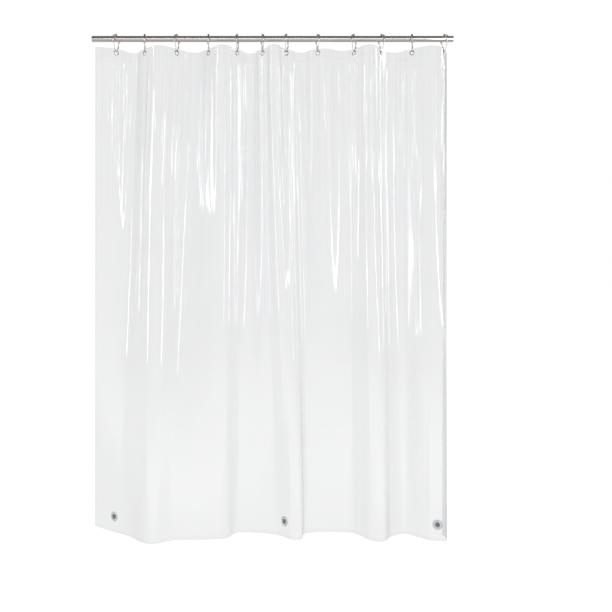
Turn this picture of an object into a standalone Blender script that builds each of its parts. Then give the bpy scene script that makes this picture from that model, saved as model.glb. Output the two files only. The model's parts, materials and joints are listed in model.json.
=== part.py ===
"""Clear shower liner on a steel rod, hung by twelve roller rings, with magnets at its hem.

Metres, +Z up. The origin is on the rod's axis at the middle of its length, +X runs along
the rod and -Y is the side that faces the room.
"""

import math

import bmesh
import bpy
from mathutils import Matrix, Vector

COLLECTION = "shower_curtain"
CUTTERS = "cutters"

GAP = 0.0003  # between pieces that touch

# Rod: a plain tube that runs past the first and the last ring.
ROD_RADIUS = 0.0111
ROD_WALL = 0.0010
ROD_PAST_FIRST_RING = 0.0896
ROD_PAST_LAST_RING = 0.0323
ROD_SIDES = 48

# Film: one flat sheet before it was hung.
FILM_WIDTH = 1.829
FILM_DROP = 1.829
FILM_THICK = 0.0002
HEADER_DEPTH = 0.045
HEM_BAND = 0.115
COLUMN_PITCH = 0.027
ROW_SHARES = (0.25, 0.5, 0.75)

# Grommets: two rolled flanges joined by a barrel through the film.
GROMMET_COUNT = 12
GROMMET_MARGIN = 0.0762
GROMMET_DOWN = 0.015
GROMMET_HOLE_RADIUS = 0.0058
GROMMET_BARREL_WALL = 0.0007
GROMMET_FLANGE_RADIUS = 0.0097
GROMMET_RIM_THICK = 0.0004
GROMMET_THROAT_THICK = 0.0005
GROMMET_SIDES = 16
FLAT_PAST_FLANGE = 0.0025

# Rings: a pear-shaped wire with rollers on its top arc, closed by a clasp on the back leg.
WIRE_RADIUS = 0.0012
ROLLER_RADIUS = 0.0040
ROLLER_LENGTH = 0.0055
ROLLER_PLAY = 0.0007  # round the wire, at the middle of its bore
ROLLER_CROWN = 0.0003  # how much smaller its shoulders are than its middle
ROLLER_SHOULDER_IN = 0.00135  # from its ends
ROLLER_FLARE_IN = 0.00055  # from its ends, where its bore starts to widen
ROLLER_SIDES = 10
ARC_OVER_CONTACT = 0.0036
FOOT_RADIUS = 0.0055
RING_DROP = 0.0500
HOLE_TOP_OVER_WIRE = 0.0025  # at the foot's lowest point, as the wire curves up from there
CLASP_SHIFT_ENDS = (0.15, 0.38)
CLASP_TIP = 0.66
CLASP_HOOK_TIP = 0.46

# Hem magnets: a disc under a clear patch that is welded round it.
MAGNET_RADIUS = 0.0090
MAGNET_THICK = 0.0022
MAGNET_EASE = 0.0003
MAGNET_ABOVE_HEM = 0.060
MAGNET_FROM_SIDE = 0.112
MAGNET_SIDES = 20
PATCH_PAST_MAGNET = 0.0100
PATCH_WELD_WIDTH = 0.0060
PATCH_SHOULDER_PAST_MAGNET = 0.0013
PATCH_SIDES = 24

# Hung width of the film between neighbouring grommets, as a share of its flat width there.
HUNG_SHARES = (0.699, 0.795, 0.776, 0.711, 0.620, 0.591, 0.766, 0.893, 0.677, 0.751, 0.799)
# Direction of the film in plan at each grommet, in degrees from +X towards the back.
FILM_TURNS = (30, -42, 40, -45, 50, -38, 38, -20, -45, 55, -37, 60)
FIRST_EDGE_TURN = 4
LAST_EDGE_TURN = 100
# Turn of each ring about the vertical, in degrees, positive when its front leg swings to +X.
RING_TURNS = (-22, 13, -15, 10, -4, 16, -16, 18, -28, 28, -9, 28)

# Plan of the hem, as shares of the hung width (across) and in metres (depth, + to the back).
HEM_PLAN = (
    (-0.090, 0.117),
    (0.030, 0.006),
    (0.117, -0.107),
    (0.188, -0.063),
    (0.289, -0.043),
    (0.338, -0.024),
    (0.372, 0.049),
    (0.476, 0.026),
    (0.535, -0.045),
    (0.566, -0.041),
    (0.583, 0.042),
    (0.705, 0.050),
    (0.741, 0.012),
    (0.772, -0.053),
    (0.812, -0.067),
    (0.838, -0.006),
    (0.882, 0.033),
    (0.919, -0.013),
    (0.952, -0.053),
    (0.982, -0.070),
    (0.998, -0.059),
    (1.003, -0.030),
    (0.999, 0.000),
    (0.996, 0.013),
)

STEPS = 48  # straight pieces in the film's plan between two grommets
FOLD_ROUNDS = 60  # of the search for each fold's shape
FOLD_NUDGE = 1e-5
FOLD_MOST_CHANGE = 0.3
FOLD_CLOSE_ENOUGH = 1e-9
HEM_ROUNDS = 40  # of the search for how deep the hem's folds are
HEM_DEEPEST = 4.0
BALANCE_SAMPLES = 200
ARC_STEP = 20  # degrees between the wire's points on its top arc
FOOT_STEP = 29


def new_collection(name):
    collection = bpy.data.collections.new(name)
    bpy.context.scene.collection.children.link(collection)
    return collection


def material(name, colour, roughness, metallic, alpha=1.0):
    made = bpy.data.materials.new(name)
    made.use_nodes = True
    shader = made.node_tree.nodes["Principled BSDF"]
    shader.inputs["Base Color"].default_value = (*colour, 1.0)
    shader.inputs["Roughness"].default_value = roughness
    shader.inputs["Metallic"].default_value = metallic
    shader.inputs["Alpha"].default_value = alpha
    return made


def place(obj, collection, location=(0, 0, 0), rotation=None, look=None):
    collection.objects.link(obj)
    obj.location = location
    if rotation is not None:
        obj.rotation_euler = rotation.to_euler()
    if look is not None:
        obj.data.materials.append(look)
    return obj


# Plan of the film

def fold_angles(start, end, swell, lean):
    """Direction of the film at the middle of each step between two grommets.

    It is flat at both grommets. swell bows the fold out and lean turns all of it one way.
    """
    angles = []
    for step in range(STEPS):
        turn = math.pi * (step + 0.5) / STEPS
        blend = (start + end) / 2 + (start - end) / 2 * math.cos(turn)
        bow = math.sin(turn) ** 2
        angles.append(blend + swell * bow * math.cos(turn) + lean * bow)
    return angles


def reach(angles, length):
    step = length / len(angles)
    return (
        step * sum(math.cos(angle) for angle in angles),
        step * sum(math.sin(angle) for angle in angles),
    )


def solved_fold(start, end, length, chord):
    """The fold of this length whose ends are chord apart along the rod and level in depth."""
    swell, lean = (1.0 if start > end else -1.0), -(start + end) / 2
    small = FOLD_NUDGE
    for _ in range(FOLD_ROUNDS):
        across, depth = reach(fold_angles(start, end, swell, lean), length)
        across_s, depth_s = reach(fold_angles(start, end, swell + small, lean), length)
        across_l, depth_l = reach(fold_angles(start, end, swell, lean + small), length)
        rows = Matrix(
            (
                ((across_s - across) / small, (across_l - across) / small),
                ((depth_s - depth) / small, (depth_l - depth) / small),
            )
        )
        fault = Vector((across - chord, depth))
        if fault.length < FOLD_CLOSE_ENOUGH:
            break
        change = rows.inverted() @ fault
        swell -= max(-FOLD_MOST_CHANGE, min(FOLD_MOST_CHANGE, change[0]))
        lean -= max(-FOLD_MOST_CHANGE, min(FOLD_MOST_CHANGE, change[1]))
    return fold_angles(start, end, swell, lean)


def edge_angles(start, end):
    return [
        (start + end) / 2 + (start - end) / 2 * math.cos(math.pi * (step + 0.5) / STEPS)
        for step in range(STEPS)
    ]


def walked(angles, length):
    points = [Vector((0.0, 0.0))]
    for angle in angles:
        points.append(
            points[-1] + Vector((math.cos(angle), math.sin(angle))) * (length / len(angles))
        )
    return points


def grommet_pitch():
    return (FILM_WIDTH - 2 * GROMMET_MARGIN) / (GROMMET_COUNT - 1)


def hung_width():
    return grommet_pitch() * sum(HUNG_SHARES)


def rod_length():
    return ROD_PAST_FIRST_RING + hung_width() + ROD_PAST_LAST_RING


def top_plan():
    """The film's plan at its top edge, as (length along the film, point)."""
    turns = [math.radians(turn) for turn in FILM_TURNS]
    pitch = grommet_pitch()
    stretches = [(GROMMET_MARGIN, edge_angles(math.radians(FIRST_EDGE_TURN), turns[0]))]
    for index, share in enumerate(HUNG_SHARES):
        angles = solved_fold(turns[index], turns[index + 1], pitch, share * pitch)
        stretches.append((pitch, angles))
    last = edge_angles(turns[-1], math.radians(LAST_EDGE_TURN))
    stretches.append((GROMMET_MARGIN, last))

    plan = [(0.0, Vector((0.0, 0.0)))]
    for length, angles in stretches:
        along, start = plan[-1]
        for index, point in enumerate(walked(angles, length)[1:], start=1):
            plan.append((along + length * index / len(angles), start + point))
    first_ring = at(plan, GROMMET_MARGIN)
    shift = Vector((ROD_PAST_FIRST_RING - rod_length() / 2, 0.0)) - first_ring
    return [(along, point + shift) for along, point in plan]


def smooth_through(points, pieces=12):
    """Catmull-Rom curve through the points."""
    ends = [2 * points[0] - points[1]] + points + [2 * points[-1] - points[-2]]
    curve = []
    for index in range(len(points) - 1):
        a, b, c, d = ends[index : index + 4]
        for piece in range(pieces):
            t = piece / pieces
            curve.append(
                0.5
                * (
                    2 * b
                    + (c - a) * t
                    + (2 * a - 5 * b + 4 * c - d) * t**2
                    + (3 * b - a - 3 * c + d) * t**3
                )
            )
    return curve + [points[-1]]


def measured(points):
    """Points of a curve as (length along it, point)."""
    plan = [(0.0, points[0])]
    for point in points[1:]:
        plan.append((plan[-1][0] + (point - plan[-1][1]).length, point))
    return plan


def hem_plan():
    """The film's plan at its hem, its folds as deep as the film's width allows."""
    first = ROD_PAST_FIRST_RING - rod_length() / 2

    def curve(depth):
        outline = [
            Vector((first + across * hung_width(), back * depth)) for across, back in HEM_PLAN
        ]
        return measured(smooth_through(outline))

    shallow, deep = 0.0, HEM_DEEPEST
    for _ in range(HEM_ROUNDS):
        middle = (shallow + deep) / 2
        if curve(middle)[-1][0] < FILM_WIDTH:
            shallow = middle
        else:
            deep = middle
    return curve(shallow)


def at(plan, along):
    """The point of a plan at a length along the film."""
    along = min(max(along, plan[0][0]), plan[-1][0])
    low, high = 0, len(plan) - 1
    while high - low > 1:
        middle = (low + high) // 2
        if plan[middle][0] <= along:
            low = middle
        else:
            high = middle
    (before, start), (after, end) = plan[low], plan[high]
    return start.lerp(end, (along - before) / max(after - before, 1e-12))


def straight_at(plan, centre, half):
    """Middle and direction of the flat stretch about a length along the film."""
    start, end = at(plan, centre - half), at(plan, centre + half)
    return (start + end) / 2, (end - start).normalized()


# Film

def grommet_places():
    return [GROMMET_MARGIN + index * grommet_pitch() for index in range(GROMMET_COUNT)]


def magnet_places():
    return {
        "left": MAGNET_FROM_SIDE,
        "middle": FILM_WIDTH / 2,
        "right": FILM_WIDTH - MAGNET_FROM_SIDE,
    }


def grommet_flat():
    return GROMMET_FLANGE_RADIUS + FLAT_PAST_FLANGE


def patch_radius():
    return MAGNET_RADIUS + PATCH_PAST_MAGNET


def magnet_flat():
    return patch_radius() + FLAT_PAST_FLANGE


def film_columns():
    """Lengths along the film that carry a column of points."""
    fixed = [0.0, FILM_WIDTH]
    for place_along in grommet_places():
        fixed += [place_along - grommet_flat(), place_along + grommet_flat()]
    for place_along in magnet_places().values():
        fixed += [place_along - magnet_flat(), place_along + magnet_flat()]
    fixed.sort()
    flats = [(along, grommet_flat()) for along in grommet_places()]
    columns = []
    for start, end in zip(fixed, fixed[1:]):
        middle = (start + end) / 2
        inside = any(abs(middle - along) < half for along, half in flats)
        pieces = 1 if inside else max(1, math.ceil((end - start) / COLUMN_PITCH))
        columns += [start + (end - start) * piece / pieces for piece in range(pieces)]
    return columns + [FILM_WIDTH]


def hem_point(plan, along):
    """A point of the hem, on the straight chord where a magnet's patch is welded."""
    for centre in magnet_places().values():
        if abs(along - centre) < magnet_flat():
            start, end = at(plan, centre - magnet_flat()), at(plan, centre + magnet_flat())
            return start.lerp(end, (along - centre) / (2 * magnet_flat()) + 0.5)
    return at(plan, along)


def film_rows():
    """Lengths down the film, each with how far its plan has turned into the hem's."""
    slope = FILM_DROP - HEM_BAND - HEADER_DEPTH
    rows = [(0.0, 0.0), (HEADER_DEPTH, 0.0)]
    rows += [(HEADER_DEPTH + slope * share, share) for share in ROW_SHARES]
    return rows + [(FILM_DROP - HEM_BAND, 1.0), (FILM_DROP, 1.0)]


def film_top():
    hole_top = -RING_DROP + WIRE_RADIUS + HOLE_TOP_OVER_WIRE
    return hole_top - GROMMET_HOLE_RADIUS + GROMMET_DOWN


def balanced(top, hem):
    """The hem's plan moved in depth so that the film hangs balanced under the rod."""
    rows = film_rows()
    spots = [FILM_WIDTH * index / BALANCE_SAMPLES for index in range(BALANCE_SAMPLES + 1)]
    depth_top = sum(at(top, along).y for along in spots) / len(spots)
    depth_hem = sum(at(hem, along).y for along in spots) / len(spots)
    hem_part = 0.0
    for (start, start_share), (end, end_share) in zip(rows, rows[1:]):
        hem_part += (end - start) * (start_share + end_share) / 2 / FILM_DROP
    move = Vector((0.0, -depth_top * (1 - hem_part) / hem_part - depth_hem))
    return [(along, point + move) for along, point in hem]


def film_points(top, hem, columns):
    """One list of points for each row, each column as long as the film's drop."""
    rows = film_rows()
    grid = []
    heights = [film_top()] * len(columns)
    before = None
    for index, (down, share) in enumerate(rows):
        plan = [at(top, along).lerp(hem_point(hem, along), share) for along in columns]
        if before is not None:
            length = down - rows[index - 1][0]
            heights = [
                height - math.sqrt(length**2 - (now - old).length_squared)
                for height, now, old in zip(heights, plan, before)
            ]
        grid.append([Vector((*point, height)) for point, height in zip(plan, heights)])
        before = plan
    return grid


def level_band(grid, columns, centres, half):
    """Sets the points of each flat stretch at one height, so that it lies in one plane."""
    for row in grid:
        for centre in centres:
            inside = [i for i, along in enumerate(columns) if abs(along - centre) <= half + 1e-9]
            first, last = row[inside[0]].z, row[inside[-1]].z
            for index in inside:
                row[index].z = (first + last) / 2


def film(collection, cutters, look, top, hem):
    columns = film_columns()
    grid = film_points(top, hem, columns)
    level_band(grid[-2:], columns, magnet_places().values(), magnet_flat())

    mesh = bmesh.new()
    points = [[mesh.verts.new(point) for point in row] for row in grid]
    for upper, lower in zip(points, points[1:]):
        for left in range(len(columns) - 1):
            mesh.faces.new((upper[left], lower[left], lower[left + 1], upper[left + 1]))
    data = bpy.data.meshes.new("curtain_sheet")
    mesh.to_mesh(data)
    mesh.free()
    sheet = place(bpy.data.objects.new("curtain_sheet", data), collection, look=look)

    wall = sheet.modifiers.new("film", "SOLIDIFY")
    wall.thickness = FILM_THICK
    wall.offset = 0

    cut = sheet.modifiers.new("grommet_holes", "BOOLEAN")
    cut.operation = "DIFFERENCE"
    cut.object = hole_cutter(cutters, top)
    return grid


def hole_cutter(cutters, top):
    """Twelve short cylinders, one through the film at each grommet."""
    mesh = bmesh.new()
    radius = GROMMET_HOLE_RADIUS + GROMMET_BARREL_WALL + GAP
    for along in grommet_places():
        bmesh.ops.create_cone(
            mesh,
            cap_ends=True,
            segments=GROMMET_SIDES,
            radius1=radius,
            radius2=radius,
            depth=4 * GROMMET_THROAT_THICK,
            matrix=film_frame(top, along, grommet_flat(), film_top() - GROMMET_DOWN),
        )
    data = bpy.data.meshes.new("grommet_holes")
    mesh.to_mesh(data)
    mesh.free()
    cutter = place(bpy.data.objects.new("grommet_holes", data), cutters)
    cutter.hide_render = True
    cutter.display_type = "WIRE"
    return cutter


def film_frame(plan, along, half, height):
    """Frame of a flat stretch: X along the film, Y up, Z out of its front face."""
    middle, direction = straight_at(plan, along, half)
    across = Vector((direction.x, direction.y, 0.0))
    up = Vector((0.0, 0.0, 1.0))
    out = across.cross(up)
    frame = Matrix((across, up, out)).transposed().to_4x4()
    frame.translation = (middle.x, middle.y, height)
    return frame


# Turned pieces

def turned(name, profile, sides, closed):
    """A profile of (radius, height) turned about Z, run from its outer top downwards."""
    data = bpy.data.meshes.new(name)
    count = len(profile)
    edges = [(index, index + 1) for index in range(count - 1)]
    if closed:
        edges.append((count - 1, 0))
    data.from_pydata([(radius, 0.0, height) for radius, height in profile], edges, [])
    obj = bpy.data.objects.new(name, data)
    screw = obj.modifiers.new("turn", "SCREW")
    screw.steps = sides
    screw.render_steps = sides
    screw.use_merge_vertices = True
    screw.merge_threshold = 0.00001
    return obj


def grommet(name, collection, look, frame):
    barrel = GROMMET_HOLE_RADIUS + GROMMET_BARREL_WALL
    slot = FILM_THICK / 2 + GAP
    rim = slot + GROMMET_RIM_THICK
    throat = slot + GROMMET_THROAT_THICK
    profile = (
        (GROMMET_FLANGE_RADIUS, rim),
        (GROMMET_FLANGE_RADIUS, slot),
        (barrel, slot),
        (barrel, -slot),
        (GROMMET_FLANGE_RADIUS, -slot),
        (GROMMET_FLANGE_RADIUS, -rim),
        (GROMMET_HOLE_RADIUS, -throat),
        (GROMMET_HOLE_RADIUS, throat),
    )
    ring = turned(name, profile, GROMMET_SIDES, closed=True)
    place(ring, collection, frame.translation, frame, look)


def magnet(name, collection, look, frame):
    low = FILM_THICK / 2 + GAP
    high = low + MAGNET_THICK
    profile = (
        (0.0, high),
        (MAGNET_RADIUS - MAGNET_EASE, high),
        (MAGNET_RADIUS, high - MAGNET_EASE),
        (MAGNET_RADIUS, low + MAGNET_EASE),
        (MAGNET_RADIUS - MAGNET_EASE, low),
        (0.0, low),
    )
    disc = turned(name, profile, MAGNET_SIDES, closed=False)
    place(disc, collection, frame.translation, frame, look)


def patch(name, collection, look, frame):
    """Clear patch over a magnet: a low dome with a flat rim that is welded to the film."""
    low = FILM_THICK / 2 + GAP
    radius = patch_radius()
    weld = radius - PATCH_WELD_WIDTH
    shoulder = MAGNET_RADIUS + PATCH_SHOULDER_PAST_MAGNET
    inner_top = low + MAGNET_THICK + GAP
    profile = (
        (0.0, inner_top + FILM_THICK),
        (shoulder, inner_top + FILM_THICK),
        (weld, low + FILM_THICK),
        (radius, low + FILM_THICK),
        (radius, low),
        (weld, low),
        (shoulder, inner_top),
        (0.0, inner_top),
    )
    dome = turned(name, profile, PATCH_SIDES, closed=False)
    place(dome, collection, frame.translation, frame, look)


# Rod and rings

def rod(collection, look):
    bpy.ops.mesh.primitive_cylinder_add(
        vertices=ROD_SIDES,
        radius=ROD_RADIUS,
        depth=rod_length(),
        end_fill_type="NOTHING",
        rotation=(0, math.pi / 2, 0),
    )
    tube = bpy.context.object
    tube.name = "rod"
    for owner in list(tube.users_collection):
        owner.objects.unlink(tube)
    collection.objects.link(tube)
    tube.data.materials.append(look)
    wall = tube.modifiers.new("wall", "SOLIDIFY")
    wall.thickness = ROD_WALL
    wall.offset = -1
    wall.use_even_offset = True


def roller_centre():
    """Height of the top roller's centre, which is also the top of the wire's arc."""
    return ROD_RADIUS + GAP + ROLLER_RADIUS


def arc_radius():
    return roller_centre() + ARC_OVER_CONTACT


def ring_shape():
    """Centre of the top arc, centre of the foot, and the legs' slope from the vertical."""
    arc_height = roller_centre() - arc_radius()
    foot_height = -RING_DROP + FOOT_RADIUS
    slope = math.asin((arc_radius() - FOOT_RADIUS) / (arc_height - foot_height))
    return arc_height, foot_height, slope


def arc_points(radius, height, first, last, step):
    """Points in the ring's plane, angles in degrees from the top towards the front."""
    pieces = max(2, math.ceil(abs(last - first) / step))
    points = []
    for piece in range(pieces + 1):
        angle = math.radians(first + (last - first) * piece / pieces)
        points.append(
            Vector((0.0, -radius * math.sin(angle), height + radius * math.cos(angle)))
        )
    return points


def wire_points():
    """The wire from its tip on the back leg, over the rod and round the foot to the catch."""
    arc_height, foot_height, slope = ring_shape()
    lean = math.degrees(slope)
    arc = arc_points(arc_radius(), arc_height, -90 - lean, 90 + lean, ARC_STEP)
    foot = arc_points(FOOT_RADIUS, foot_height, 90 + lean, 270 - lean, FOOT_STEP)
    leg_top, leg_foot = arc[0], foot[-1]
    beside = Vector((2 * WIRE_RADIUS + GAP, 0.0, 0.0))
    shift_from, shift_to = CLASP_SHIFT_ENDS
    free_leg = [
        leg_top.lerp(leg_foot, CLASP_TIP) + beside,
        leg_top.lerp(leg_foot, shift_to) + beside,
        leg_top.lerp(leg_foot, (shift_from + shift_to) / 2) + beside / 2,
        leg_top.lerp(leg_foot, shift_from),
    ]
    return free_leg + arc + foot + [leg_top.lerp(leg_foot, CLASP_HOOK_TIP)]


def ring_wire(name, collection, look, across, turn):
    data = bpy.data.curves.new(name, "CURVE")
    data.dimensions = "3D"
    data.bevel_depth = WIRE_RADIUS
    data.bevel_resolution = 2
    data.use_fill_caps = True
    spline = data.splines.new("POLY")
    points = wire_points()
    spline.points.add(len(points) - 1)
    for slot, point in zip(spline.points, points):
        slot.co = (*point, 1.0)
    wire = bpy.data.objects.new(name, data)
    place(wire, collection, (across, 0, 0), Matrix.Rotation(turn, 4, "Z"), look)


def roller(name, collection, look, across, turn):
    """Barrel roller on the top of the wire, its bore widening to its ends."""
    half = ROLLER_LENGTH / 2
    bore = WIRE_RADIUS + ROLLER_PLAY
    end_radius = (ROLLER_RADIUS + bore) / 2 + GAP
    shoulder_radius, shoulder = ROLLER_RADIUS - ROLLER_CROWN, half - ROLLER_SHOULDER_IN
    flare = half - ROLLER_FLARE_IN
    profile = (
        (end_radius, half),
        (shoulder_radius, shoulder),
        (ROLLER_RADIUS, 0.0),
        (shoulder_radius, -shoulder),
        (end_radius, -half),
        (bore + GAP, -flare),
        (bore, 0.0),
        (bore + GAP, flare),
    )
    bead = turned(name, profile, ROLLER_SIDES, closed=True)
    along_wire = Matrix.Rotation(turn, 4, "Z") @ Matrix.Rotation(math.pi / 2, 4, "X")
    place(bead, collection, (across, 0, roller_centre()), along_wire, look)


def main():
    for obj in list(bpy.data.objects):
        bpy.data.objects.remove(obj, do_unlink=True)
    parts = new_collection(COLLECTION)
    cutters = new_collection(CUTTERS)

    steel = material("brushed_steel", (0.62, 0.61, 0.59), 0.25, 1.0)
    wire_steel = material("polished_steel", (0.75, 0.74, 0.73), 0.12, 1.0)
    chrome = material("roller_chrome", (0.82, 0.82, 0.82), 0.08, 1.0)
    plated = material("grommet_plate", (0.60, 0.60, 0.60), 0.2, 1.0)
    clear = material("clear_film", (0.90, 0.91, 0.93), 0.08, 0.0, alpha=0.35)
    clear_patch = material("clear_patch", (0.88, 0.89, 0.91), 0.1, 0.0, alpha=0.35)
    dark = material("magnet_coat", (0.08, 0.08, 0.085), 0.45, 0.0)

    top = top_plan()
    hem = balanced(top, hem_plan())
    grid = film(parts, cutters, clear, top, hem)
    rod(parts, steel)

    for index, along in enumerate(grommet_places()):
        number = f"{index + 1:02d}"
        turn = math.radians(RING_TURNS[index])
        frame = film_frame(top, along, grommet_flat(), film_top() - GROMMET_DOWN)
        across = frame.translation.x
        ring_wire(f"hook_{number}", parts, wire_steel, across, turn)
        roller(f"roller_{number}", parts, chrome, across, turn)
        grommet(f"grommet_{number}", parts, plated, frame)

    columns = film_columns()
    for side, along in magnet_places().items():
        edge = min(range(len(columns)), key=lambda i: abs(columns[i] - along + magnet_flat()))
        height = grid[-1][edge].z + MAGNET_ABOVE_HEM
        frame = film_frame(hem, along, magnet_flat(), height)
        magnet(f"magnet_{side}", parts, dark, frame)
        patch(f"magnet_pocket_{side}", parts, clear_patch, frame)


main()
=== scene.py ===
"""Looks of a clear shower liner on a steel rod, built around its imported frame.

Metres, +Z up. The frame's origin is on the rod's axis at mid-length, +X runs along the rod
and -Y faces the room. Each operator builds one group of pieces in place.
"""

import json
import math

import bmesh
import bpy
import numpy as np
from mathutils import Matrix, Vector

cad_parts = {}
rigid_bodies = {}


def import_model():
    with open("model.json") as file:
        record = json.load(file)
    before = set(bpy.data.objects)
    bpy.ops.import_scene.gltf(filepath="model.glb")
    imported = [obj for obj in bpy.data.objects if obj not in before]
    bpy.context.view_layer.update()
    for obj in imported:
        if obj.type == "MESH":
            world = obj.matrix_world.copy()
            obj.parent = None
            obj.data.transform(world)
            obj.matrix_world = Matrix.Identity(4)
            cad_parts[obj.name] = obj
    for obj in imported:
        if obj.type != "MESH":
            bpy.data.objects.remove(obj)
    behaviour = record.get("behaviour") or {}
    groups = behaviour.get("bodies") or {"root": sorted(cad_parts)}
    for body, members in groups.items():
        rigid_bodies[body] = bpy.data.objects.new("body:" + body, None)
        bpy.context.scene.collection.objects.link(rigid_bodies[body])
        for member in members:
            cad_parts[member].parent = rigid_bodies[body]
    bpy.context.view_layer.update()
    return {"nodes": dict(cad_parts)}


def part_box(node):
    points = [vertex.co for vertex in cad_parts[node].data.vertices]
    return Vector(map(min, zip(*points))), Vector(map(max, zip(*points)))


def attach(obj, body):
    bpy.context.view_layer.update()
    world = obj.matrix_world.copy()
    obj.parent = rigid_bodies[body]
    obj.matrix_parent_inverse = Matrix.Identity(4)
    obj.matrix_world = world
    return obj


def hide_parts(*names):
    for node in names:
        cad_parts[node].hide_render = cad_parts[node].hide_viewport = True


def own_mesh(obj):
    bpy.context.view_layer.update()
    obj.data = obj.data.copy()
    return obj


bl_info = {
    "name": "Clear Shower Liner",
    "version": (1, 0, 0),
    "blender": (4, 5, 0),
    "location": "View3D > Sidebar > Liner",
    "description": "Builds a clear shower liner with its rod, roller rings, grommets and magnets",
    "category": "Add Mesh",
}

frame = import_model()

RING_NAMES = [f"{index:02d}" for index in range(1, 13)]
MAGNET_SIDES = ("left", "middle", "right")


def middle(node):
    low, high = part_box(node)
    return (low + high) / 2


RING_CENTRES = [middle(f"roller_{number}") for number in RING_NAMES]
ROD_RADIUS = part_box("rod")[1].z
ROD_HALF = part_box("rod")[1].x

# Flat film, as cut, and where its grommets and magnets are.
FILM_WIDTH = 1.829
FILM_DROP = 1.829
FILM_THICK = 0.0002
GROMMET_MARGIN = 0.0762
GROMMET_DOWN = 0.015
GROMMET_FLAT = 0.0122
MAGNET_FROM_SIDE = 0.112
MAGNET_FLAT = 0.0215
MAGNET_ABOVE_HEM = 0.060
GROMMET_PITCH = (FILM_WIDTH - 2 * GROMMET_MARGIN) / (len(RING_NAMES) - 1)
GROMMET_ALONG = [GROMMET_MARGIN + GROMMET_PITCH * index for index in range(len(RING_NAMES))]
FILM_HOLE_RADIUS = 0.0078
HEADER_STRAIGHT = 0.045
HEM_BAND = 0.115
GROMMET_HEIGHT = middle("grommet_01").z
FILM_TOP = GROMMET_HEIGHT + GROMMET_DOWN

# Film's direction in plan at each grommet and each ring's turn, in degrees, as in the frame.
FILM_TURNS = np.radians((30, -42, 40, -45, 50, -38, 38, -20, -45, 55, -37, 60))
FIRST_EDGE_TURN = math.radians(4)
LAST_EDGE_TURN = math.radians(100)
RING_TURNS = np.radians((-22, 13, -15, 10, -4, 16, -16, 18, -28, 28, -9, 28))

# Hem in plan: shares of the hung width, and metres of depth before the film's width is met.
HEM_PLAN = (
    (-0.090, 0.117),
    (0.030, 0.006),
    (0.117, -0.107),
    (0.188, -0.063),
    (0.289, -0.043),
    (0.338, -0.024),
    (0.372, 0.049),
    (0.476, 0.026),
    (0.535, -0.045),
    (0.566, -0.041),
    (0.583, 0.042),
    (0.705, 0.050),
    (0.741, 0.012),
    (0.772, -0.053),
    (0.812, -0.067),
    (0.838, -0.006),
    (0.882, 0.033),
    (0.919, -0.013),
    (0.952, -0.053),
    (0.982, -0.070),
    (0.998, -0.059),
    (1.003, -0.030),
    (0.999, 0.000),
    (0.996, 0.013),
)
PLAN_STEPS = 96

# Long upright creases: lengths along the film at their upper and lower ends, lengths down it at
# those ends, and size.
CREASES = (
    (0.053, 0.049, 0.05, 0.34, 0.8),
    (0.143, 0.139, 0.03, 0.37, 0.8),
    (0.231, 0.241, 0.33, 1.13, 1.0),
    (0.299, 0.316, 0.17, 0.60, 0.5),
    (0.321, 0.336, 0.02, 0.39, 0.7),
    (0.387, 0.421, 0.19, 1.08, 1.5),
    (0.431, 0.455, 0.00, 0.51, 0.8),
    (0.599, 0.604, 0.04, 0.44, 0.5),
    (0.622, 0.622, 0.03, 0.29, 0.7),
    (0.679, 0.693, 0.06, 1.07, 1.0),
    (0.751, 0.747, 0.02, 0.37, 0.5),
    (0.844, 0.833, 0.32, 1.11, 1.1),
    (0.918, 0.925, 0.01, 0.42, 0.8),
    (1.002, 0.980, 0.04, 1.07, 1.0),
    (1.055, 1.069, 0.04, 0.33, 0.5),
    (1.102, 1.101, 0.03, 0.22, 0.5),
    (1.167, 1.179, 0.04, 0.38, 0.6),
    (1.240, 1.249, 0.00, 0.48, 0.7),
    (1.324, 1.305, 0.34, 0.94, 0.6),
    (1.371, 1.378, 0.06, 0.30, 0.5),
    (1.459, 1.462, 0.04, 1.07, 1.4),
    (1.524, 1.545, 0.03, 0.33, 0.6),
    (1.609, 1.630, 0.33, 1.11, 1.2),
    (1.663, 1.674, 0.15, 0.52, 0.5),
    (1.696, 1.696, 0.01, 0.39, 0.8),
)
CREASE_WIDTH = 0.0045

# Rod, magnets, ring wire and rollers.
ROD_WALL = 0.0010
MAGNET_RADIUS = 0.009
MAGNET_THICK = 0.0022
SMALL_GAP = 0.0003
WIRE_RADIUS = 0.0012
ROLLER_RADIUS = 0.0040
ROLLER_LENGTH = 0.0055
ROLLER_BORE = 0.0016
ARC_OVER_CONTACT = 0.0036
FOOT_RADIUS = 0.0055
RING_DROP = 0.0500
SIDE_ROLLERS = (-104, -52, 52, 104)


def colour_setting(name, description, red, green, blue):
    return bpy.props.FloatVectorProperty(
        name=name,
        description=description,
        subtype="COLOR",
        size=4,
        min=0,
        max=1,
        default=(red, green, blue, 1.0),
    )


class LinerFilmSettings(bpy.types.PropertyGroup):
    tint: colour_setting("Film tint", "What the film lets through", 0.885, 0.888, 0.895)
    haze: bpy.props.FloatProperty(
        name="Haze", description="Share of light the film scatters", default=0.10, min=0, max=1
    )
    wrinkle: bpy.props.FloatProperty(
        name="Wrinkle depth",
        description="Depth of the fine wrinkles below the grommets",
        default=0.0007,
        unit="LENGTH",
    )
    column: bpy.props.FloatProperty(
        name="Column pitch", description="Mesh pitch across the film", default=0.0030, unit="LENGTH"
    )
    row: bpy.props.FloatProperty(
        name="Row pitch", description="Mesh pitch down the film", default=0.0180, unit="LENGTH"
    )


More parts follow.
